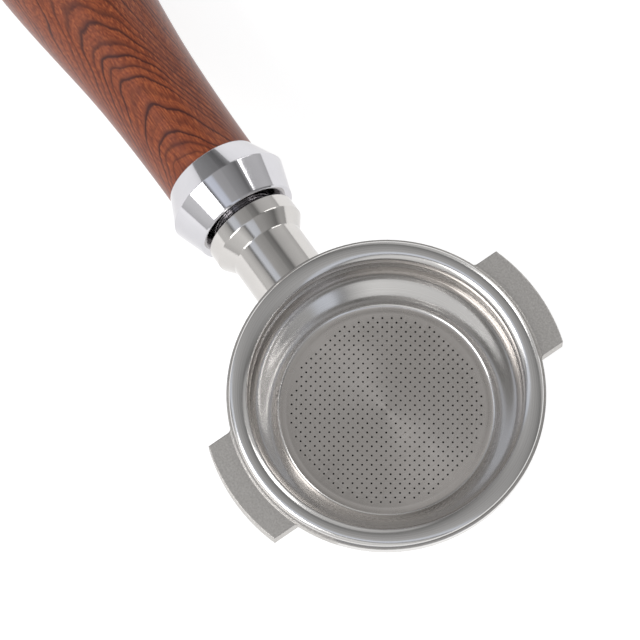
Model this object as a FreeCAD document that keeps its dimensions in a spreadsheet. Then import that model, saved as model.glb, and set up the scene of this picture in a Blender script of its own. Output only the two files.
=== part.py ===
"""Espresso portafilter: a 58 mm class holder with bayonet lugs, a filter basket, a double spout
and a turned wooden handle.

Frame: +Z up along the basket's axis, the origin at the centre of the basket's mouth, in the plane
of its lip, and the handle out along +X, sloping down. Millimetres.
"""
import FreeCAD, Part
import math
import os
import Sketcher

doc = FreeCAD.newDocument("portafilter")


# ---------------------------------------------------------------------------------------------
# Driving dimensions
# ---------------------------------------------------------------------------------------------

sizes = doc.addObject("Spreadsheet::Sheet", "sizes")

DIMENSIONS = [
    # filter basket, a pressed sheet
    ("basket_bore", 29.25, "inner radius of the straight wall, which the tamper slides in"),
    ("basket_sheet", 0.6, "sheet thickness"),
    ("basket_depth", 15.7, "lip plane to the top of the floor"),
    ("basket_floor", 23.3, "radius of the flat floor"),
    ("basket_straight", 8.0, "depth of the straight wall below the lip plane"),
    ("basket_bulge_width", 0.7, "how far the tapered wall swells out of a straight cone"),
    ("floor_corner", 0.9, "radius in the corner between the floor and the wall"),
    ("lip_reach", 2.75, "how far the lip's highest ring lies outside the straight wall"),
    ("lip_rim", 1.6, "how far the lip's outer edge lies outside that ring"),
    ("lip_drop", 0.9, "how far the lip's outer edge lies under its crown"),
    ("lip_round", 1.4, "how far outside the straight wall the lip's inner side rolls over"),
    ("lip_round_depth", 0.26, "depth of that place"),
    ("lip_inside", 0.45, "how far outside the straight wall that side leans out"),
    ("lip_inside_depth", 1.1, "depth of that place"),
    ("lip_throat", 2.6, "depth at which the lip's throat meets the straight wall"),
    ("snap_groove", 0.25, "depth of the groove that the spring snaps into"),
    # body, a machined brass casting
    ("seat_gap", 0.05, "play between the lip and the flange that it sits on"),
    ("basket_play", 0.5, "radial play between the basket and the body's bore"),
    ("flange_wall", 3.75, "width of the flange round the body's bore"),
    ("flange_thick", 2.7, "height of the flange"),
    ("shoulder_wall", 2.15, "thickness of the bowl's side right under the flange"),
    ("bowl_waist", 29.6, "outer radius of the bowl where its side turns in"),
    ("bowl_waist_depth", 20.0, "depth of that turn"),
    ("bowl_side", 27.2, "outer radius on the bowl's rounded side"),
    ("bowl_side_depth", 27.8, "depth of that place"),
    ("bowl_turn", 22.5, "outer radius where the side runs into the bottom"),
    ("bowl_turn_depth", 31.9, "depth of that place"),
    ("bowl_belly", 18.5, "outer radius where the bowl's bottom flattens"),
    ("bowl_bottom", 33.5, "depth of the bowl's bottom"),
    ("bowl_wall", 2.6, "thickness of the bowl's side and bottom"),
    ("bore_depth", 10.5, "depth of the body's straight bore"),
    ("groove_deep", 0.85, "depth of the spring's groove in that bore"),
    ("boss_outer", 11.5, "radius of the boss that takes the spout"),
    ("boss_end", 40.0, "depth of the boss's lower face"),
    ("spout_joint_radius", 8.0, "radius of the spout's threaded joint"),
    ("lug_outer", 39.5, "radius over the bayonet lugs"),
    ("lug_width", 24.6, "width of each lug across its parallel sides"),
    ("lug_top", 2.0, "depth of the lugs' upper faces"),
    ("lug_thick", 4.2, "thickness of the lugs"),
    ("lug_turn", 1.4, "angle of the lugs round from square to the handle, degrees"),
    ("lug_fillet", 1.2, "fillet where a lug's side runs into the flange"),
    # spring that holds the basket
    ("spring_depth", 4.4, "depth of the spring's centre line"),
    ("spring_wire", 0.6, "radius of the spring's wire"),
    ("spring_clear", 0.1, "play round the spring"),
    ("spring_opening", 24.0, "angle left open in the spring, degrees"),
    # neck of the casting, and the line that the whole handle follows
    ("neck_depth", 18.6, "depth at which the handle's axis crosses the basket's axis"),
    ("handle_slope", 11.0, "slope of the handle's axis below the level, degrees"),
    ("neck_radius", 8.55, "radius of the neck"),
    ("neck_start", 28.0, "where the neck begins inside the bowl's side, along its axis"),
    ("collar_radius", 10.75, "radius of the collar at the neck's end"),
    ("collar_cone", 48.4, "where the neck starts to widen into the collar"),
    ("collar_start", 51.6, "where the collar reaches its full radius"),
    ("collar_end", 55.7, "the collar's end face"),
    ("collar_round", 0.6, "rounding of the collar's end"),
    # turned ferrule between the neck and the wood
    ("ferrule_gap", 0.9, "open groove between the collar and the ferrule's rim"),
    ("ferrule_front", 11.85, "radius of the ferrule's front edge"),
    ("ferrule_crest", 14.2, "radius of the ferrule's crest"),
    ("ferrule_back", 11.2, "radius of the ferrule's back edge"),
    ("ferrule_cone", 7.9, "length of the ferrule's front cone"),
    ("ferrule_band", 6.7, "length of the ferrule's back band"),
    ("ferrule_edge", 0.35, "rounding of the ferrule's edges"),
    ("tenon_radius", 8.6, "radius of the wood's tenon, which sits in the ferrule"),
    ("tenon_length", 7.5, "length of that tenon"),
    ("spigot_radius", 7.4, "radius of the ferrule's spigot, which meets the collar"),
    # wooden handle
    ("wood_length", 117.0, "length of the wood behind the ferrule"),
    ("wood_swell", 15.95, "largest radius of the wood"),
    ("swell_place", 80.0, "where along the wood that is"),
    ("flare_place", 52.0, "where the neck of the wood turns into its swell"),
    ("flare_radius", 14.2, "radius of the wood there"),
    ("waist_place", 27.0, "a place on the slender part of the wood"),
    ("waist_radius", 11.85, "radius of the wood there"),
    ("heel_place", 105.0, "where the wood's end starts to round off"),
    ("heel_radius", 13.9, "radius of the wood there"),
    ("heel_dome", 2.6, "how far the end face domes out"),
    ("heel_face", 8.0, "radius of that domed end face"),
    ("wood_step_height", 0.1, "how far the wood stays under the ferrule's back edge"),
    # stud and threaded insert that hold the handle on
    ("stud_radius", 5.0, "radius of the threaded stud"),
    ("stud_in_neck", 16.0, "length of the stud inside the neck"),
    ("stud_play", 0.3, "radial play of the stud in the ferrule"),
    ("insert_radius", 6.8, "radius of the brass insert in the wood"),
    ("insert_length", 24.0, "length of the insert"),
    ("insert_flange", 7.8, "radius of the insert's flange"),
    ("insert_flange_thick", 1.5, "thickness of that flange"),
    ("stud_lead", 1.0, "chamfer at the stud's end"),
    ("stud_tip_play", 2.0, "room past the stud's tip in the wood"),
    # double spout
    ("gasket_thick", 1.5, "thickness of the gasket over the spout"),
    ("gasket_inset", 0.6, "how far the gasket stays inside the boss"),
    ("nipple_length", 8.5, "length of the spout's threaded nipple above its collar"),
    ("nipple_bore", 5.6, "radius of the hole through the nipple"),
    ("spout_collar", 4.6, "height of the spout's round collar"),
    ("spout_hub", 7.6, "radius of the spout's hub under its collar"),
    ("spout_hub_drop", 3.6, "depth of the outlets' centre line under the collar"),
    ("spout_chamfer", 0.8, "chamfer round the collar's lower edge"),
    ("hub_round", 2.0, "how far the hub's lower edge is taken off"),
    ("arm_radius", 5.2, "outer radius of each outlet arm"),
    ("arm_bore", 3.8, "inner radius of each outlet arm"),
    ("arm_start", 3.0, "distance of an arm's upper end from the middle"),
    ("arm_reach", 15.0, "distance of each outlet from the middle"),
    ("arm_slim", 0.4, "how much slimmer an arm's sloping part is than its end"),
    ("arm_tip", 3.5, "straight length at the end of an arm"),
    ("arm_drop", 11.5, "depth of the outlets under the hub's middle"),
    # tools
    ("cut_past", 1.0, "how far a cut runs past the face that it opens"),
]

for row, (alias, number, note) in enumerate(DIMENSIONS, start=1):
    sizes.set(f"A{row}", str(number))
    sizes.setAlias(f"A{row}", alias)
    sizes.set(f"B{row}", note)
doc.recompute()


class Length:
    """A size as an expression on the sheet, together with its present value."""

    def __init__(self, text, value):
        self.text = text
        self.value = value

    def join(self, sign, other, value):
        other_text = other.text if isinstance(other, Length) else str(other)
        return Length(f"({self.text} {sign} {other_text})", value)

    def __add__(self, other):
        return self.join("+", other, self.value + number_of(other))

    def __sub__(self, other):
        return self.join("-", other, self.value - number_of(other))

    def __mul__(self, other):
        return self.join("*", other, self.value * number_of(other))

    def __truediv__(self, other):
        return self.join("/", other, self.value / number_of(other))

    def __neg__(self):
        return Length(f"(0 - {self.text})", -self.value)


def number_of(size):
    return size.value if isinstance(size, Length) else float(size)


def text_of(size):
    return size.text if isinstance(size, Length) else str(size)


def size(alias):
    return Length(f"sizes.{alias}", float(sizes.get(alias)))


def root(length):
    return Length(f"sqrt({length.text})", math.sqrt(length.value))


def bind(thing, path, length):
    thing.setExpression(path, text_of(length))


# ---------------------------------------------------------------------------------------------
# Building blocks
# ---------------------------------------------------------------------------------------------

def new_body(label):
    body = doc.addObject("PartDesign::Body", label)
    body.Label = label
    return body


def origin_part(body, role):
    return next(part for part in body.Origin.OriginFeatures if part.Role == role)


def new_sketch(body, name, role):
    sketch = body.newObject("Sketcher::SketchObject", name)
    sketch.AttachmentSupport = [(origin_part(body, role), "")]
    sketch.MapMode = "FlatFace"
    return sketch


def via(across, up):
    """Marks a point that an arc passes through, between the corners before and after it."""
    return ("via", across, up)


def pin_point(sketch, geometry, end, across, up):
    """Holds one point of a sketch at two distances from the sketch's origin."""
    for kind, distance in (("DistanceX", across), ("DistanceY", up)):
        place = (-1, 1, geometry, end, number_of(distance))
        index = sketch.addConstraint(Sketcher.Constraint(kind, *place))
        bind(sketch, f"Constraints[{index}]", distance)


def outline(sketch, points):
    """A closed outline through its corners; a via point turns its side into an arc."""
    corners = [point for point in points if point[0] != "via"]
    sides = []
    for index, point in enumerate(points):
        if point[0] == "via":
            sides[-1] = point[1:]
        else:
            sides.append(None)

    def vector(pair):
        return FreeCAD.Vector(number_of(pair[0]), number_of(pair[1]), 0)

    count = len(corners)
    starts = []
    for index, middle in enumerate(sides):
        here = vector(corners[index])
        there = vector(corners[(index + 1) % count])
        if middle is None:
            edge = sketch.addGeometry(Part.LineSegment(here, there))
            starts.append((edge, 1, 2))
            continue
        arc = Part.Arc(here, vector(middle), there)
        edge = sketch.addGeometry(arc)
        forward = sketch.getPoint(edge, 1).distanceToPoint(here) < 1e-6
        starts.append((edge, 1, 2) if forward else (edge, 2, 1))
        mark = sketch.addGeometry(Part.Point(vector(middle)), True)
        sketch.addConstraint(Sketcher.Constraint("PointOnObject", mark, 1, edge))
        pin_point(sketch, mark, 1, *middle)
    for index in range(count):
        edge, first, last = starts[index]
        after, after_first, _ = starts[(index + 1) % count]
        sketch.addConstraint(Sketcher.Constraint("Coincident", edge, last, after, after_first))
        pin_point(sketch, edge, first, *corners[index])
    return sketch


def circle(sketch, across, up, radius):
    centre = FreeCAD.Vector(number_of(across), number_of(up), 0)
    ring = sketch.addGeometry(Part.Circle(centre, FreeCAD.Vector(0, 0, 1), number_of(radius)))
    pin_point(sketch, ring, 3, across, up)
    index = sketch.addConstraint(Sketcher.Constraint("Radius", ring, number_of(radius)))
    bind(sketch, f"Constraints[{index}]", radius)
    return sketch


def turned(body, name, sketch, axis, angle=360.0, cut=False):
    """Turns an outline about one of its sketch's axes, as new material or as a cut."""
    kind = "PartDesign::Groove" if cut else "PartDesign::Revolution"
    feature = body.newObject(kind, name)
    feature.Profile = sketch
    feature.ReferenceAxis = (sketch, [axis])
    bind(feature, "Angle", angle)
    sketch.Visibility = False
    return feature


def lathe(body, name, axis, points, cut=False):
    """A turned form: an outline in the XZ plane, turned about the upright or the level axis."""
    sketch = outline(new_sketch(body, f"{name}_outline", "XZ_Plane"), points)
    return turned(body, name, sketch, axis, cut=cut)


def along_handle(body):
    """Lays a piece whose own X runs along the handle on the handle's sloping axis."""
    body.Placement.Rotation = FreeCAD.Rotation(FreeCAD.Vector(0, 1, 0), 1.0)
    bind(body, "Placement.Base.z", -size("neck_depth"))
    bind(body, "Placement.Rotation.Angle", size("handle_slope"))


def edges_where(feature, wanted):
    """Names of a feature's edges that a test on each edge picks out."""
    doc.recompute()
    edges = enumerate(feature.Shape.Edges, start=1)
    return [f"Edge{index}" for index, edge in edges if wanted(edge)]


CLOSE = 0.02  # nearer than this, two places count as one


# Places that several pieces share
flange_face = -(size("lip_drop") + size("basket_sheet") + size("seat_gap"))
basket_outer = size("basket_bore") + size("basket_sheet")
body_bore = basket_outer + size("basket_play")
flange_outer = body_bore + size("flange_wall")
ferrule_start = size("collar_end") + size("ferrule_gap")
ferrule_end = ferrule_start + size("ferrule_cone") + size("ferrule_band")
spout_face = -(size("boss_end") + size("gasket_thick"))


# ---------------------------------------------------------------------------------------------
# portafilter_body: flange, bowl, lugs, neck and spout boss in one casting
# ---------------------------------------------------------------------------------------------

def make_casting():
    body = new_body("portafilter_body")

    # The solid form of the flange, bowl and boss
    under_flange = flange_face - size("flange_thick")
    lathe(body, "bowl", "V_Axis", [
        (0, flange_face),
        (flange_outer, flange_face),
        (flange_outer, under_flange),
        (body_bore + size("shoulder_wall"), under_flange),
        (size("bowl_waist"), -size("bowl_waist_depth")),
        (size("bowl_side"), -size("bowl_side_depth")),
        (size("bowl_turn"), -size("bowl_turn_depth")),
        (size("bowl_belly"), -size("bowl_bottom")),
        (size("boss_outer"), -size("bowl_bottom")),
        (size("boss_outer"), -size("boss_end")),
        (0, -size("boss_end")),
    ])

    # The neck and its collar, turned about the handle's sloping axis
    neck = new_sketch(body, "neck_outline", "XZ_Plane")
    neck.AttachmentOffset.Rotation = FreeCAD.Rotation(FreeCAD.Vector(0, 0, -1), 1.0)
    bind(neck, "AttachmentOffset.Base.y", -size("neck_depth"))
    bind(neck, "AttachmentOffset.Rotation.Angle", size("handle_slope"))
    outline(neck, [
        (size("neck_start"), 0),
        (size("collar_end"), 0),
        (size("collar_end"), size("collar_radius") - size("collar_round")),
        (size("collar_end") - size("collar_round"), size("collar_radius")),
        (size("collar_start"), size("collar_radius")),
        (size("collar_cone"), size("neck_radius")),
        (size("neck_start"), size("neck_radius")),
    ])
    turned(body, "neck", neck, "H_Axis")

    # One bayonet lug with parallel sides and a round tip, and its twin half a turn away
    lug = new_sketch(body, "lug_outline", "XY_Plane")
    bind(lug, "AttachmentOffset.Base.z", -(size("lug_top") + size("lug_thick")))
    bind(lug, "AttachmentOffset.Rotation.Angle", size("lug_turn"))
    half = size("lug_width") / 2
    tip = root(size("lug_outer") * size("lug_outer") - half * half)
    outline(lug, [
        (-half, size("basket_bore")),
        (half, size("basket_bore")),
        (half, tip),
        via(0, size("lug_outer")),
        (-half, tip),
    ])
    pad = body.newObject("PartDesign::Pad", "lug")
    pad.Profile = lug
    bind(pad, "Length", size("lug_thick"))
    doc.recompute()
    pair = body.newObject("PartDesign::PolarPattern", "lug_pair")
    pair.Originals = [pad]
    pair.Axis = (origin_part(body, "Z_Axis"), [""])
    pair.Angle = 360
    pair.Occurrences = 2
    body.Tip = pair

    # Fillets where the lugs' sides run into the flange
    def at_lug_root(edge):
        upright = abs(edge.BoundBox.XLength) + abs(edge.BoundBox.YLength) < CLOSE
        middle = edge.CenterOfMass
        out = math.hypot(middle.x, middle.y)
        return upright and abs(out - number_of(flange_outer)) < CLOSE

    roots = body.newObject("PartDesign::Fillet", "lug_roots")
    roots.Base = (pair, edges_where(pair, at_lug_root))
    bind(roots, "Radius", size("lug_fillet"))
    body.Tip = roots

    # The seat for the basket, the spring's groove, the bowl's hollow and the threaded bore
    wall = size("bowl_wall")
    groove_half = size("spring_wire") + size("spring_clear")
    mouth = flange_face + size("cut_past")
    lathe(body, "hollow", "V_Axis", [
        (0, mouth),
        (body_bore, mouth),
        (body_bore, groove_half - size("spring_depth")),
        (body_bore + size("groove_deep"), groove_half - size("spring_depth")),
        (body_bore + size("groove_deep"), -(groove_half + size("spring_depth"))),
        (body_bore, -(groove_half + size("spring_depth"))),
        (body_bore, -size("bore_depth")),
        (size("bowl_waist") - wall, -size("bowl_waist_depth")),
        (size("bowl_side") - wall, wall / 2 - size("bowl_side_depth")),
        (size("bowl_turn") - wall / 2, wall - size("bowl_turn_depth")),
        (size("spout_joint_radius"), wall - size("bowl_bottom")),
        (size("spout_joint_radius"), -(size("boss_end") + size("cut_past"))),
        (0, -(size("boss_end") + size("cut_past"))),
    ], cut=True)

    # The blind hole for the handle's stud
    hole = new_sketch(body, "stud_hole_outline", "XZ_Plane")
    hole.AttachmentOffset.Rotation = FreeCAD.Rotation(FreeCAD.Vector(0, 0, -1), 1.0)
    bind(hole, "AttachmentOffset.Base.y", -size("neck_depth"))
    bind(hole, "AttachmentOffset.Rotation.Angle", size("handle_slope"))
    outline(hole, [
        (size("collar_end") - size("stud_in_neck"), 0),
        (size("collar_end") + size("cut_past"), 0),
        (size("collar_end") + size("cut_past"), size("stud_radius")),
        (size("collar_end") - size("stud_in_neck"), size("stud_radius")),
    ])
    turned(body, "stud_hole", hole, "H_Axis", cut=True)
    return body


# ---------------------------------------------------------------------------------------------
# filter_basket: a pressed sheet with a rolled lip, a straight wall and a tapered one
# ---------------------------------------------------------------------------------------------

def make_basket():
    body = new_body("filter_basket")
    sheet = size("basket_sheet")
    inner = size("basket_bore")
    outer = basket_outer
    floor = -size("basket_depth")
    foot = size("basket_floor")
    corner = size("floor_corner")
    straight = -size("basket_straight")
    throat = -size("lip_throat")
    lip_edge = -size("lip_drop")
    lip_inside = inner + size("lip_inside")
    lip_round = inner + size("lip_round")
    lip_crown = inner + size("lip_reach")
    lip_outer = lip_crown + size("lip_rim")
    mid_wall = (inner + foot) / 2 + size("basket_bulge_width")
    mid_depth = (straight + floor) / 2
    snap_reach = size("spring_wire") * 3 / 2
    lathe(body, "shell", "V_Axis", [
        # inside, from the middle of the floor up to the lip's edge
        (0, floor),
        (foot - corner, floor),
        (foot + corner / 4, floor + corner),
        (mid_wall, mid_depth),
        (inner, straight),
        (inner, throat),
        (lip_inside, -size("lip_inside_depth")),
        (lip_round, -size("lip_round_depth")),
        (lip_crown, 0),
        (lip_outer, lip_edge),
        # outside, one sheet away, with the groove for the spring
        (lip_outer, lip_edge - sheet),
        (lip_crown, -sheet),
        (lip_round + sheet / 2, -(size("lip_round_depth") + sheet * 3 / 4)),
        (lip_inside + sheet / 2, -(size("lip_inside_depth") + sheet / 2)),
        (outer, throat - sheet / 2),
        (outer, snap_reach - size("spring_depth")),
        (outer - size("snap_groove"), -size("spring_depth")),
        (outer, -(snap_reach + size("spring_depth"))),
        (outer, straight),
        (mid_wall + sheet, mid_depth - sheet / 2),
        (foot + corner, floor + corner / 2),
        (foot - corner, floor - sheet),
        (0, floor - sheet),
    ])
    return body


# ---------------------------------------------------------------------------------------------
# basket_spring: an open ring of round wire in the body's groove
# ---------------------------------------------------------------------------------------------

def make_spring():
    """The wire's section is drawn with six sides; its corners lie on the real wire's round."""
    body = new_body("basket_spring")
    middle = basket_outer + size("spring_clear") + size("spring_wire")
    corners = []
    for sixth in range(6):
        angle = math.radians(60 * sixth)
        across = middle + size("spring_wire") * round(math.cos(angle), 6)
        up = size("spring_wire") * round(math.sin(angle), 6) - size("spring_depth")
        corners.append((across, up))
    section = outline(new_sketch(body, "wire_section", "XZ_Plane"), corners)
    turned(body, "ring", section, "V_Axis", angle=Length("360", 360.0) - size("spring_opening"))
    return body


# ---------------------------------------------------------------------------------------------
# The handle: a turned ferrule, the wood, its threaded insert and the stud
# ---------------------------------------------------------------------------------------------

def make_ferrule():
    body = new_body("handle_ferrule")
    crest_place = ferrule_start + size("ferrule_cone")
    edge = size("ferrule_edge")
    stud_way = size("stud_radius") + size("stud_play")
    lathe(body, "cup", "H_Axis", [
        (size("collar_end"), stud_way),
        (size("collar_end"), size("spigot_radius")),
        (ferrule_start, size("spigot_radius")),
        (ferrule_start, size("ferrule_front") - edge),
        (ferrule_start + edge, size("ferrule_front")),
        (crest_place, size("ferrule_crest")),
        (ferrule_end, size("ferrule_back")),
        (ferrule_end, size("tenon_radius")),
        (ferrule_end - size("tenon_length"), size("tenon_radius")),
        (ferrule_end - size("tenon_length"), stud_way),
    ])
    along_handle(body)
    return body


def insert_start():
    return ferrule_end - size("tenon_length")


WOOD_CHORDS = 11  # short cones that the wood's smooth side is turned in


def make_wood():
    """The wood's side is one smooth curve through the named places, turned about the handle's axis."""
    def place(along, out):
        return FreeCAD.Vector(number_of(along), 0, number_of(out))

    heel = ferrule_end + size("wood_length")
    bore_end = insert_start() + size("insert_length") + size("stud_tip_play")
    seat = insert_start() + size("insert_flange_thick")
    side = Part.BSplineCurve()
    side.interpolate(
        Points=[
            place(ferrule_end, size("ferrule_back") - size("wood_step_height")),
            place(ferrule_end + size("waist_place"), size("waist_radius")),
            place(ferrule_end + size("flare_place"), size("flare_radius")),
            place(ferrule_end + size("swell_place"), size("wood_swell")),
            place(ferrule_end + size("heel_place"), size("heel_radius")),
            place(heel - size("heel_dome"), size("heel_face")),
            place(heel, 0),
        ],
        InitialTangent=FreeCAD.Vector(1, 0, 0),
        FinalTangent=FreeCAD.Vector(0, 0, -1),
    )
    rest = [
        place(bore_end, 0),
        place(bore_end, size("insert_radius")),
        place(seat, size("insert_radius")),
        place(seat, size("insert_flange")),
        place(insert_start(), size("insert_flange")),
        place(insert_start(), size("tenon_radius")),
        place(ferrule_end, size("tenon_radius")),
    ]
    chords = side.discretize(WOOD_CHORDS + 1)
    section = Part.Face(Part.makePolygon(chords + rest + [chords[0]]))
    turning = section.revolve(FreeCAD.Vector(0, 0, 0), FreeCAD.Vector(1, 0, 0), 360)
    wood = doc.addObject("Part::Feature", "wooden_handle")
    wood.Shape = turning
    along_handle(wood)
    return wood


def make_insert():
    body = new_body("handle_insert")
    end = insert_start() + size("insert_length")
    lathe(body, "sleeve", "H_Axis", [
        (insert_start(), size("stud_radius")),
        (insert_start(), size("insert_flange")),
        (insert_start() + size("insert_flange_thick"), size("insert_flange")),
        (insert_start() + size("insert_flange_thick"), size("insert_radius")),
        (end, size("insert_radius")),
        (end, size("stud_radius")),
    ])
    along_handle(body)
    return body


def make_stud():
    body = new_body("handle_stud")
    start = size("collar_end") - size("stud_in_neck")
    end = insert_start() + size("insert_length")
    lead = size("stud_lead")
    lathe(body, "rod", "H_Axis", [
        (start, 0),
        (start, size("stud_radius")),
        (end - lead, size("stud_radius")),
        (end, size("stud_radius") - lead),
        (end, 0),
    ])
    along_handle(body)
    return body


# ---------------------------------------------------------------------------------------------
# The double spout and its gasket
# ---------------------------------------------------------------------------------------------

def make_gasket():
    body = new_body("spout_gasket")
    out = size("boss_outer") - size("gasket_inset")
    lathe(body, "washer", "V_Axis", [
        (size("spout_joint_radius"), spout_face),
        (out, spout_face),
        (out, -size("boss_end")),
        (size("spout_joint_radius"), -size("boss_end")),
    ])
    return body


def rod(name, radius, length, base, direction):
    """A round bar from its base centre along a direction."""
    bar = doc.addObject("Part::Cylinder", name)
    bar.Placement.Rotation = FreeCAD.Rotation(FreeCAD.Vector(0, 0, 1), FreeCAD.Vector(*direction))
    bind(bar, "Radius", radius)
    bind(bar, "Height", length)
    for axis, distance in zip("xyz", base):
        bind(bar, f"Placement.Base.{axis}", distance)
    return bar


KNEE = math.tan(math.radians(45 / 2))  # overlap of two lengths at a 45 degree knee, in radii


def knee_tubes(name, radius, tip, overrun):
    """Two round forms that slope out of the hub at 45 degrees and turn down to the outlets."""
    reach, knee = size("arm_reach"), tip + size("arm_tip")
    run = reach - size("arm_start")
    slim = radius - size("arm_slim")
    bars = []
    for side, label in ((1, "left"), (-1, "right")):
        base = (0, size("arm_start") * side, knee + run)
        bars.append(rod(f"{name}_slope_{label}", slim, run * math.sqrt(2), base, (0, side, -1)))
        base = (0, reach * side, knee + radius * KNEE)
        drop = size("arm_tip") + radius * KNEE + overrun
        bars.append(rod(f"{name}_end_{label}", radius, drop, base, (0, 0, -1)))
    pair = doc.addObject("Part::MultiFuse", name)
    pair.Shapes = bars
    return pair


def make_spout():
    hub = new_body("spout_hub")
    under_collar = spout_face - size("spout_collar")
    middle = under_collar - size("spout_hub_drop")
    bottom = middle - size("arm_radius")
    chamfer = size("spout_chamfer")

    # Nipple, round collar and hub
    lathe(hub, "hub", "V_Axis", [
        (0, spout_face + size("nipple_length")),
        (size("spout_joint_radius"), spout_face + size("nipple_length")),
        (size("spout_joint_radius"), spout_face),
        (size("boss_outer"), spout_face),
        (size("boss_outer"), under_collar + chamfer),
        (size("boss_outer") - chamfer, under_collar),
        (size("spout_hub"), under_collar),
        (size("spout_hub"), bottom + size("hub_round")),
        (size("spout_hub") - size("hub_round"), bottom - size("hub_round") / 2),
        (0, bottom - size("hub_round") / 2),
    ])
    tip = middle - size("arm_drop")
    outside = doc.addObject("Part::MultiFuse", "spout_outside")
    outside.Shapes = [hub, knee_tubes("arms", size("arm_radius"), tip, 0)]

    # The way down through the nipple and out of both arms
    inlet_height = spout_face + size("nipple_length") + size("cut_past") - middle
    inlet = rod("inlet", size("nipple_bore"), inlet_height, (0, 0, middle), (0, 0, 1))
    waterway = doc.addObject("Part::MultiFuse", "waterway")
    waterway.Shapes = [inlet, knee_tubes("outlets", size("arm_bore"), tip, size("cut_past"))]

    spout = doc.addObject("Part::Cut", "double_spout")
    spout.Base = outside
    spout.Tool = waterway
    return spout


pieces = [
    make_casting(),
    make_basket(),
    make_spring(),
    make_ferrule(),
    make_wood(),
    make_insert(),
    make_stud(),
    make_gasket(),
    make_spout(),
]
doc.recompute()


# ---------------------------------------------------------------------------------------------
# Checks and files
# ---------------------------------------------------------------------------------------------

for thing in doc.Objects:
    if "Invalid" in thing.State or "Error" in thing.State:
        raise RuntimeError(f"{thing.Name} failed: {thing.State}")

os.makedirs("parts", exist_ok=True)
for piece in pieces:
    shape = piece.Shape
    if shape.isNull() or not shape.isValid() or len(shape.Solids) != 1:
        raise RuntimeError(f"{piece.Label} is not one sound solid")
    shape.exportStep(f"parts/{piece.Label}.step")
    print(f"{piece.Label}: {shape.Volume:.1f} mm3")
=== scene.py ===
import math

import bpy
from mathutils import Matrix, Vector


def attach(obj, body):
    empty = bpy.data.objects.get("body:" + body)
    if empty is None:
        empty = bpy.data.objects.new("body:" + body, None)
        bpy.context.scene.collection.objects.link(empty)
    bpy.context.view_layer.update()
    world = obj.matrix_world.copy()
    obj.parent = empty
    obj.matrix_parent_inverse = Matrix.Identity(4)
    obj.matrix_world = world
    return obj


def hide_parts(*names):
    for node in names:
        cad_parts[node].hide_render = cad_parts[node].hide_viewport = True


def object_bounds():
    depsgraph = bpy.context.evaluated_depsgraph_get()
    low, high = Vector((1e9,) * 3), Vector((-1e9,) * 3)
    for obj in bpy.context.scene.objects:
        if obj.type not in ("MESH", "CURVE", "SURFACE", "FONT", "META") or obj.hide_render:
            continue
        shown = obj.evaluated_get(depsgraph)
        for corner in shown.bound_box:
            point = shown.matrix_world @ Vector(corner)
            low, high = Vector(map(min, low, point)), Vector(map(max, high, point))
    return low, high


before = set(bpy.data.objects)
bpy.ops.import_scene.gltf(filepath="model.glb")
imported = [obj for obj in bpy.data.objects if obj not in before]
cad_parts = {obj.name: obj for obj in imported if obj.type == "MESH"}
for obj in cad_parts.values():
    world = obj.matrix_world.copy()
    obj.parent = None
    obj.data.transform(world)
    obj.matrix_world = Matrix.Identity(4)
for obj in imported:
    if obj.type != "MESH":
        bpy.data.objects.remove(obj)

cad_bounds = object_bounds()
scene = bpy.context.scene

# ---- Camera, floor and light -----------------------------------------------------------------
# A long lens looks steeply down on the basket, with the handle running away to the upper left.
# The light is a bright overhead studio sky over a pale floor.

camera_data = bpy.data.cameras.new("camera")
camera_data.lens = 253
camera_data.sensor_width = 36
camera_data.clip_start = 0.01
camera = bpy.data.objects.new("camera", camera_data)
camera.location = (-0.2001, 0.1288, 0.9272)
camera.rotation_euler = [math.radians(angle) for angle in (15.306, 1.041, -123.438)]
scene.collection.objects.link(camera)
scene.camera = camera
scene.view_settings.view_transform = "Standard"


def feed(tree, node, inputs):
    """Sets a node's inputs; each is a value or the socket that feeds it."""
    for name, value in inputs.items():
        if isinstance(value, bpy.types.NodeSocket):
            tree.links.new(value, node.inputs[name])
        else:
            node.inputs[name].default_value = value


def add_node(tree, kind, inputs, **settings):
    """Adds a shader node with its settings and inputs."""
    node = tree.nodes.new(kind)
    for name, value in settings.items():
        setattr(node, name, value)
    feed(tree, node, inputs)
    return node


def calculate(tree, operation, *terms):
    """The result of a Math node on one to three terms, each a number or a socket."""
    return add_node(tree, "ShaderNodeMath", dict(enumerate(terms)), operation=operation).outputs[0]


def blend(tree, share, under, over, **settings):
    """One colour laid over another by a share from 0 to 1."""
    return add_node(tree, "ShaderNodeMix", {"Factor": share, "A": under, "B": over},
                    data_type="RGBA", **settings).outputs["Result"]


def ramp(tree, factor, stops):
    """The colour of a ramp; each stop is a place from 0 to 1 and a grey or a colour."""
    node = add_node(tree, "ShaderNodeValToRGB", {"Fac": factor})
    elements = node.color_ramp.elements
    while len(elements) < len(stops):
        elements.new(0.5)
    for element, (place, colour) in zip(elements, stops):
        element.position = place
        rgb = (colour, colour, colour) if isinstance(colour, (int, float)) else colour
        element.color = (*rgb, 1)
    return node.outputs["Color"]


def new_material(name):
    """A node material with its Principled shader ready to be set."""
    material = bpy.data.materials.new(name)
    material.use_nodes = True
    return material, material.node_tree, material.node_tree.nodes["Principled BSDF"]


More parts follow.
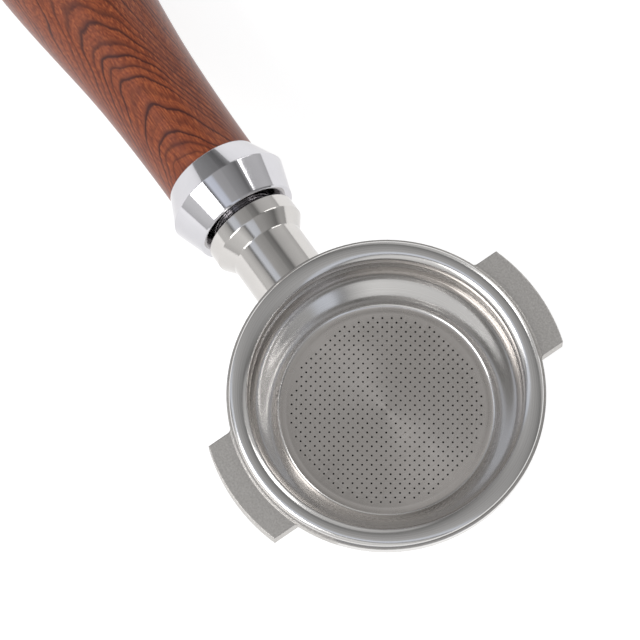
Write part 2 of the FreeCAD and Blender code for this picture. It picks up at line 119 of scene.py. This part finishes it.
floor_gap = 0.0002
floor_radius = 3
floor_glow = 0.75
floor_place = (0.05, 0, cad_bounds[0][2] - floor_gap)
bpy.ops.object.select_all(action="DESELECT")
bpy.ops.mesh.primitive_circle_add(vertices=96, radius=floor_radius, fill_type="NGON",
                                  location=floor_place)
floor = bpy.context.object
floor.name = "floor"
bpy.ops.object.transform_apply(location=True)
material, tree, shader = new_material("pale_floor")
path = add_node(tree, "ShaderNodeLightPath", {}).outputs
seen = calculate(tree, "MAXIMUM", path["Is Camera Ray"], path["Is Glossy Ray"])
seen = calculate(tree, "MAXIMUM", seen, path["Is Transmission Ray"])
grain = add_node(tree, "ShaderNodeTexNoise", {"Scale": 40.0}).outputs["Fac"]
feed(tree, shader, {
    "Base Color": ramp(tree, grain, [(0.0, 0.43), (1.0, 0.47)]),
    "Roughness": 0.9,
    "Emission Color": (1, 1, 1, 1),
    "Emission Strength": calculate(tree, "MULTIPLY", seen, floor_glow)})
floor.data.materials.append(material)

# The sky's brightness runs across in broad bands, as walls and screens would stand round a table
world = bpy.data.worlds.new("studio")
world.use_nodes = True
scene.world = world
tree = world.node_tree
bands = [(0.0, 0.75), (0.16, 0.55), (0.22, 0.18), (0.27, 0.28), (0.44, 0.43), (0.56, 0.49),
         (0.60, (0.72, 0.76, 0.84)), (0.68, (0.80, 0.84, 0.92)),
         (0.72, 0.18), (0.75, 0.55), (0.84, 0.92), (1.0, 0.80)]
bands_run = (-0.35, 0.94, 0)
heights = [(0.0, 0.8), (0.25, 0.95), (0.55, 1.0), (1.0, 1.05)]
direction = add_node(tree, "ShaderNodeTexCoord", {}).outputs["Generated"]
height = add_node(tree, "ShaderNodeSeparateXYZ", {0: direction}).outputs["Z"]
side = add_node(tree, "ShaderNodeVectorMath", {0: direction, 1: bands_run}, operation="DOT_PRODUCT")
side = add_node(tree, "ShaderNodeMapRange", {"Value": side.outputs["Value"], "From Min": -1.0})
shade = blend(tree, 1.0, ramp(tree, side.outputs["Result"], bands), ramp(tree, height, heights),
              blend_type="MULTIPLY")
camera_ray = add_node(tree, "ShaderNodeLightPath", {}).outputs["Is Camera Ray"]
feed(tree, tree.nodes["Background"], {
    "Color": blend(tree, camera_ray, shade, (1, 1, 1, 1)), "Strength": 1.0})


def softbox(name, place, aim, width, height, power):
    """A rectangular soft light at a place, turned towards a point."""
    light = bpy.data.lights.new(name, "AREA")
    light.shape = "RECTANGLE"
    light.size, light.size_y = width, height
    light.energy = power
    lamp = bpy.data.objects.new(name, light)
    lamp.location = place
    lamp.rotation_euler = (Vector(aim) - Vector(place)).to_track_quat("-Z", "Y").to_euler()
    scene.collection.objects.link(lamp)


softbox("key_light", (0.1, 0.8, 0.75), (0, 0, -0.02), 0.7, 0.6, 6)
softbox("side_light", (0.3, -0.9, 0.6), (0.05, 0, -0.02), 0.3, 0.6, 2)


# ---- Filter basket ---------------------------------------------------------------------------
# A pressed stainless basket, turned from its sheet's outline: a rolled lip, a straight wall with
# fine press marks, a tapered wall and a flat floor with a lattice of fine holes drilled through.
# It hangs by its lip on the flange and stands in for the CAD basket.

crease = math.radians(32)
millimetre = 0.001
weld = 2e-6


def bend(outline, start_pull, end_pull, end, count):
    """Adds a smooth curve to an outline, from its last point to the end in count steps."""
    corners = (outline[-1], start_pull, end_pull, end)
    for index in range(1, count + 1):
        along = index / count
        rest = 1 - along
        weights = (rest ** 3, 3 * along * rest ** 2, 3 * along ** 2 * rest, along ** 3)
        outline.append(tuple(sum(weight * place[axis] for weight, place in zip(weights, corners))
                             for axis in (0, 1)))


def spun(name, outline, steps, centre=(0, 0, 0), axis=(0, 0, 1), out=(1, 0, 0)):
    """Turns an outline of (radius, height along the axis) pairs in mm about an axis."""
    centre, axis, out = Vector(centre), Vector(axis), Vector(out)
    places = [centre + (out * radius + axis * height) * millimetre for radius, height in outline]
    bpy.ops.object.select_all(action="DESELECT")
    bpy.ops.mesh.primitive_plane_add(size=millimetre)
    piece = bpy.context.object
    piece.name = name
    bpy.ops.object.mode_set(mode="EDIT")
    bpy.ops.mesh.select_all(action="SELECT")
    bpy.ops.mesh.merge(type="CENTER")
    bpy.ops.transform.translate(value=places[0])
    for before, after in zip(places, places[1:]):
        bpy.ops.mesh.extrude_region_move(TRANSFORM_OT_translate={"value": after - before})
    bpy.ops.mesh.select_all(action="SELECT")
    bpy.ops.mesh.spin(steps=steps, angle=math.tau, center=centre, axis=axis)
    bpy.ops.mesh.select_all(action="SELECT")
    bpy.ops.mesh.remove_doubles(threshold=weld)
    bpy.ops.mesh.normals_make_consistent(inside=False)
    bpy.ops.object.mode_set(mode="OBJECT")
    bpy.ops.object.shade_smooth_by_angle(angle=crease)
    return piece


floor_top, floor_under = -15.7, -16.3
wall_inside, wall_outside = 29.25, 29.85
press_mark_heights = (-5.1, -4.4, -3.4)
press_mark_half, press_mark_radius = 0.12, 29.17
lip_top, lip_edge = -0.02, 33.58

sheet = [(0, floor_top), (12, floor_top), (21.5, floor_top), (21.75, -15.66), (22.0, floor_top),
         (22.7, floor_top)]
bend(sheet, (23.3, floor_top), (23.5, -15.5), (23.75, -15.1), 4)
bend(sheet, (25.6, -12.3), (wall_inside, -10.6), (wall_inside, -8), 14)
for mark in press_mark_heights:
    sheet += [(wall_inside, mark - press_mark_half), (press_mark_radius, mark),
              (wall_inside, mark + press_mark_half)]
sheet.append((wall_inside, -2.6))
bend(sheet, (wall_inside, -0.75), (30.3, lip_top), (31.9, lip_top), 12)
bend(sheet, (32.8, lip_top), (33.5, -0.3), (lip_edge, -0.9), 7)
sheet += [(lip_edge, -1.5), (33.3, -1.5), (32.9, -1.0)]
bend(sheet, (32.4, -0.62), (30, -0.6), (29.87, -2.6), 8)
sheet += [(wall_outside, -3.6), (29.6, -4.4), (wall_outside, -5.2), (wall_outside, -8)]
bend(sheet, (wall_outside, -10.9), (26.2, -12.7), (24.3, -15.4), 10)
bend(sheet, (23.9, -16.1), (23.5, floor_under), (22.4, floor_under), 4)
sheet += [(12, floor_under), (0, floor_under)]
basket = spun("pressed_basket", sheet, steps=160)

# One round drill bit repeated over a square lattice, trimmed to the floor's circle
drill_sides, drill_depth = 10, 0.002
hole_radius = 0.00022
hole_pitch = 0.00145
holes_across = 28
lattice_reach = 204.5  # square of the lattice's radius, counted in pitches
lattice_turn = math.radians(-10.9)
sheet_middle = -0.016
first_hole = -(holes_across - 1) / 2 * hole_pitch
bpy.ops.object.select_all(action="DESELECT")
bpy.ops.mesh.primitive_cylinder_add(vertices=drill_sides, radius=hole_radius, depth=drill_depth,
                                    location=(first_hole, first_hole, sheet_middle))
drill = bpy.context.object
bpy.ops.object.transform_apply(location=True)
for step in ((hole_pitch, 0, 0), (0, hole_pitch, 0)):
    rows = drill.modifiers.new("rows", "ARRAY")
    rows.count = holes_across
    rows.use_relative_offset = False
    rows.use_constant_offset = True
    rows.constant_offset_displace = step
    bpy.ops.object.modifier_apply(modifier="rows")
bpy.ops.object.mode_set(mode="EDIT")
bpy.ops.mesh.select_mode(type="VERT")
bpy.ops.mesh.select_all(action="DESELECT")
bpy.ops.object.mode_set(mode="OBJECT")
for vertex in drill.data.vertices:
    cell = [math.floor(place / hole_pitch) + 0.5 for place in vertex.co[:2]]
    vertex.select = cell[0] ** 2 + cell[1] ** 2 > lattice_reach
bpy.ops.object.mode_set(mode="EDIT")
bpy.ops.mesh.delete(type="VERT")
bpy.ops.mesh.select_all(action="SELECT")
bpy.ops.transform.rotate(value=lattice_turn, orient_axis="Z", center_override=(0, 0, 0))
bpy.ops.object.mode_set(mode="OBJECT")
bpy.context.view_layer.objects.active = basket
holes = basket.modifiers.new("holes", "BOOLEAN")
holes.operation = "DIFFERENCE"
holes.solver = "EXACT"
holes.object = drill
bpy.ops.object.modifier_apply(modifier="holes")
bpy.data.objects.remove(drill)
bpy.ops.object.select_all(action="DESELECT")
basket.select_set(True)
bpy.ops.object.shade_smooth_by_angle(angle=crease)


def object_spot(tree):
    """The place of a point in the object's own frame, in metres."""
    return add_node(tree, "ShaderNodeTexCoord", {}).outputs["Object"]


def noise(tree, place, scale, detail):
    """A cloudy pattern from 0 to 1 at a place."""
    return add_node(tree, "ShaderNodeTexNoise",
                    {"Vector": place, "Scale": scale, "Detail": detail}).outputs["Fac"]


def vector(tree, operation, *terms):
    """The vector that a Vector Math node makes of its terms."""
    return add_node(tree, "ShaderNodeVectorMath", dict(enumerate(terms)),
                    operation=operation).outputs[0]


def length(tree, place):
    """How long a vector is."""
    return add_node(tree, "ShaderNodeVectorMath", {0: place}, operation="LENGTH").outputs["Value"]


def rescale(tree, value, low, high, new_low, new_high):
    """A value's range made to run between two new ends."""
    ends = {"From Min": low, "From Max": high, "To Min": new_low, "To Max": new_high}
    return add_node(tree, "ShaderNodeMapRange", {"Value": value, **ends}).outputs["Result"]


def bumps(tree, height, strength, distance, **inputs):
    """The normal of a finely bumped surface."""
    inputs.update(Height=height, Strength=strength, Distance=distance)
    return add_node(tree, "ShaderNodeBump", inputs).outputs["Normal"]


floor_tint_below = -0.01564
sheet_half = 0.00026
floor_dulling = 0.13
lattice_radius = 0.0213
# The fine holes' walls are painted near black: painted shade down inside the holes.
hole_painted_shade = (0.02, 0.019, 0.018, 1)
material, tree, shader = new_material("spun_stainless")
spot = object_spot(tree)
along_turn = vector(tree, "NORMALIZE", vector(tree, "CROSS_PRODUCT", (0, 0, 1), spot))
height = add_node(tree, "ShaderNodeSeparateXYZ", {0: spot}).outputs["Z"]
radius = length(tree, vector(tree, "MULTIPLY", spot, (1, 1, 0)))
rings = add_node(tree, "ShaderNodeCombineXYZ", {"X": radius, "Y": height}).outputs[0]
lathe_marks = noise(tree, rings, 9000.0, 3.0)
wall_tint = ramp(tree, lathe_marks, [(0.3, (0.60, 0.585, 0.57)), (0.7, (0.70, 0.69, 0.68))])
# The floor's colour is darker than the wall's: painted shade at the bottom of the basket, over the
# real lathe marks.
floor_marks_and_painted_shade = ramp(tree, lathe_marks, [(0.3, (0.53, 0.495, 0.465)), (0.7, (0.62, 0.59, 0.565))])
on_floor = calculate(tree, "LESS_THAN", height, floor_tint_below)
tint = blend(tree, on_floor, wall_tint, floor_marks_and_painted_shade)
in_sheet = calculate(tree, "COMPARE", height, sheet_middle, sheet_half)
in_lattice = calculate(tree, "LESS_THAN", radius, lattice_radius)
in_hole = calculate(tree, "MULTIPLY", in_sheet, in_lattice)
polish = rescale(tree, noise(tree, spot, 220.0, 4.0), 0.3, 0.7, 0.12, 0.17)
feed(tree, shader, {
    "Metallic": 1,
    "Anisotropic": 0.6,
    "Base Color": blend(tree, in_hole, tint, hole_painted_shade),
    "Roughness": calculate(tree, "MULTIPLY_ADD", on_floor, floor_dulling, polish),
    "Normal": bumps(tree, lathe_marks, 0.05, 0.00003),
    "Tangent": along_turn})
basket.data.materials.append(material)
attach(basket, "basket")
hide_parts("filter_basket")


# ---- Casting ---------------------------------------------------------------------------------
# The CAD's own solid: one brass casting with flange, bowl, lugs, neck and boss. It is plated,
# polished on the neck, and fine-grained and matte on the lugs and the flange beside them.

def dress(node_name, material):
    """Gives a CAD node its material."""
    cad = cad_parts[node_name]
    cad.data.materials.clear()
    cad.data.materials.append(material)


haze_dark, haze_dull = 0.95, 1.4


def plated(name, tint, smooth, rounding=0.0002):
    """Plated metal with faint polishing haze and edges that are rounded in the shading."""
    material, tree, shader = new_material(name)
    haze = noise(tree, object_spot(tree), 160.0, 5.0)
    dim = tuple(part * haze_dark for part in tint)
    edge = add_node(tree, "ShaderNodeBevel", {"Radius": rounding}, samples=6)
    feed(tree, shader, {
        "Metallic": 1,
        "Base Color": ramp(tree, haze, [(0.3, dim), (0.7, tint)]),
        "Roughness": rescale(tree, haze, 0.3, 0.7, smooth, smooth * haze_dull),
        "Normal": edge.outputs["Normal"]})
    return material, tree, shader


def fed_by(shader, name):
    """The socket that feeds a shader's input."""
    return shader.inputs[name].links[0].from_socket


def refinish(tree, shader, region, colour, roughness):
    """Gives one region of a plated piece a colour and a roughness of its own."""
    plain, polish = fed_by(shader, "Base Color"), fed_by(shader, "Roughness")
    feed(tree, shader, {
        "Base Color": blend(tree, region, plain, colour),
        "Roughness": rescale(tree, region, 0.0, 1.0, polish, roughness)})


rounded_edge = 0.0004
lug_from, lug_full = 0.0262, 0.0268
lug_foot = -0.00625
matte_roughness = 0.46
material, tree, shader = plated("plated_casting", (0.62, 0.60, 0.58), 0.09, rounded_edge)
spot = object_spot(tree)
place = add_node(tree, "ShaderNodeSeparateXYZ", {0: spot}).outputs
sideways = calculate(tree, "ABSOLUTE", place["Y"])
on_lug = rescale(tree, sideways, lug_from, lug_full, 0.0, 1.0)
on_lug = calculate(tree, "MULTIPLY", on_lug, calculate(tree, "GREATER_THAN", place["Z"], lug_foot))
grain = noise(tree, spot, 2600.0, 4.0)
matte = ramp(tree, grain, [(0.3, (0.46, 0.440, 0.418)), (0.7, (0.60, 0.580, 0.555))])
refinish(tree, shader, on_lug, matte, matte_roughness)
feed(tree, shader, {
    "Normal": bumps(tree, grain, 0.15, 0.00002, Normal=fed_by(shader, "Normal"))})
dress("portafilter_body", material)


# ---- Ferrule ---------------------------------------------------------------------------------
# The CAD's own solid: a cup turned from brass, plated and polished mirror bright. It sits
# between the casting's collar and the wood and covers the wood's tenon.

dress("handle_ferrule", plated("bright_ferrule", (0.62, 0.612, 0.635), 0.045, rounded_edge)[0])


# ---- Double spout and its gasket -------------------------------------------------------------
# The CAD's own solids: a plated spout with two outlets that screws into the boss, over a black
# rubber washer. The inlet's inner wall has painted shade, dark enough that it reads as a deep way
# through the holes.

inlet_radius = 0.0062
inlet_foot = -0.0525
# Painted shade: a near-black colour for the inlet's inner wall, deep in the spout.
inlet_painted_shade = (0.10, 0.095, 0.09, 1)
inlet_roughness = 0.6
material, tree, shader = plated("plated_spout", (0.58, 0.56, 0.545), 0.08, rounded_edge)
spot = object_spot(tree)
radius = length(tree, vector(tree, "MULTIPLY", spot, (1, 1, 0)))
height = add_node(tree, "ShaderNodeSeparateXYZ", {0: spot}).outputs["Z"]
narrow = calculate(tree, "LESS_THAN", radius, inlet_radius)
upper = calculate(tree, "GREATER_THAN", height, inlet_foot)
in_inlet = calculate(tree, "MULTIPLY", narrow, upper)
refinish(tree, shader, in_inlet, inlet_painted_shade, inlet_roughness)
dress("double_spout", material)

material, tree, shader = new_material("soft_rubber")
fibre = noise(tree, object_spot(tree), 1500.0, 6.0)
feed(tree, shader, {
    "Base Color": ramp(tree, fibre, [(0.3, 0.02), (0.7, 0.05)]),
    "Roughness": 0.7})
dress("spout_gasket", material)


# ---- Basket spring, insert and stud ----------------------------------------------------------
# The CAD's own solids, all hidden once the part is together: the wire ring that holds the basket,
# the brass insert pressed into the wood, and the steel stud from the neck into the insert.

dress("basket_spring", plated("spring_wire", (0.62, 0.61, 0.60), 0.2)[0])
dress("handle_insert", plated("brass_insert", (0.78, 0.58, 0.28), 0.25)[0])
dress("handle_stud", plated("steel_stud", (0.60, 0.59, 0.58), 0.25)[0])


# ---- Wooden handle ---------------------------------------------------------------------------
# Turned rosewood under lacquer, with a tenon in the ferrule and a bore for the brass insert.
# Its outline is a smooth curve about the handle's sloping axis, and it stands in for the CAD wood.

slope = math.radians(11)
handle_root = (0, 0, -0.0186)
handle_axis = (math.cos(slope), 0, -math.sin(slope))
handle_up = (math.sin(slope), 0, math.cos(slope))
wood_start, wood_radius = 71.2, 11.1
tenon_end, tenon_radius = 63.7, 8.6
bore_end, bore_radius = 89.7, 6.8
bore_mouth, bore_mouth_radius = 65.2, 7.8

# Each stretch of the side: two pulls and an end, as a radius and a place past the wood's start
side = [(wood_radius, wood_start)]
for *stretch, count in (
        ((11.15, 9), (11.35, 18), (11.85, 27), 9),
        ((12.35, 36), (13.3, 43), (14.2, 52), 9),
        ((15.05, 60), (15.85, 70), (15.93, 80), 9),
        ((16.0, 90), (15.3, 99), (13.9, 105), 8),
        ((12.4, 111), (10.6, 113.2), (8.0, 114.4), 8),
        ((5.6, 115.9), (2.6, 116.7), (0, 116.7), 6)):
    bend(side, *[(radius, wood_start + along) for radius, along in stretch], count)
tenon = [(tenon_radius, wood_start), (tenon_radius, tenon_end), (bore_mouth_radius, tenon_end),
         (bore_mouth_radius, bore_mouth), (bore_radius, bore_mouth), (bore_radius, bore_end),
         (0, bore_end)]
wood = spun("turned_wood", list(reversed(side)) + tenon, 128,
            centre=handle_root, axis=handle_axis, out=handle_up)

material, tree, shader = new_material("lacquered_rosewood")
shifted = vector(tree, "SUBTRACT", object_spot(tree), handle_root)
level = add_node(tree, "ShaderNodeVectorRotate", {"Vector": shifted, "Angle": -slope},
                 rotation_type="Y_AXIS").outputs[0]
grown = add_node(tree, "ShaderNodeVectorMath", {0: level, "Scale": 1000.0},
                 operation="SCALE").outputs[0]
wander = noise(tree, vector(tree, "MULTIPLY", grown, (0.035, 0.13, 0.13)), 1.0, 1.5)
fibres = noise(tree, vector(tree, "MULTIPLY", grown, (0.35, 7.0, 7.0)), 1.0, 5.0)
pores = noise(tree, vector(tree, "MULTIPLY", grown, (0.9, 9.0, 9.0)), 1.0, 1.0)

# Growth rings lie round a pith under the handle and close towards its free end; sizes are in mm
pith_aside, pith_below = 5.0, 12.0
ring_width = 0.55
ring_taper = -0.2
ring_wander, ring_fray = 2.4, 0.16
place = add_node(tree, "ShaderNodeSeparateXYZ", {0: grown}).outputs
across = calculate(tree, "ADD", place["Y"], pith_aside)
above = calculate(tree, "ADD", place["Z"], pith_below)
from_pith = add_node(tree, "ShaderNodeCombineXYZ", {"X": across, "Y": above}).outputs[0]
lean = calculate(tree, "MULTIPLY_ADD", place["X"], ring_taper, length(tree, from_pith))
bent = calculate(tree, "MULTIPLY_ADD", wander, ring_wander, lean)
frayed = calculate(tree, "MULTIPLY_ADD", fibres, ring_fray, bent)
count = calculate(tree, "DIVIDE", frayed, ring_width)
year = add_node(tree, "ShaderNodeTexNoise", {"W": count, "Scale": 0.9, "Detail": 1.0},
                noise_dimensions="1D").outputs["Fac"]
line = ramp(tree, calculate(tree, "FRACT", count),
            [(0.0, 0.1), (0.3, 0.0), (0.55, 0.25), (0.78, 0.95), (0.88, 1.0), (1.0, 0.1)])
strong = ramp(tree, year, [(0.38, 0.35), (0.58, 1.0)])
line = calculate(tree, "MULTIPLY", line, strong)
finer = calculate(tree, "FRACT", calculate(tree, "MULTIPLY", count, 3.7))
thin = ramp(tree, finer, [(0.0, 0.0), (0.5, 0.0), (0.8, 0.32), (1.0, 0.0)])
line = calculate(tree, "MAXIMUM", line, thin)

ring_dark = (0.055, 0.013, 0.010, 1)
pore_dark = (0.035, 0.010, 0.008, 1)
base = ramp(tree, fibres, [(0.33, (0.13, 0.026, 0.012)), (0.5, (0.27, 0.062, 0.025)),
                           (0.67, (0.48, 0.135, 0.045))])
lined = blend(tree, line, base, ring_dark)
pore = ramp(tree, pores, [(0.62, 0.0), (0.70, 0.65)])
feed(tree, shader, {
    "Base Color": blend(tree, pore, lined, pore_dark),
    "Normal": bumps(tree, pores, 0.05, 0.0001),
    "Roughness": 0.38,
    "Specular IOR Level": 0.25,
    "Coat Weight": 0.25,
    "Coat Roughness": 0.12})
wood.data.materials.append(material)
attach(wood, "holder")
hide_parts("wooden_handle")
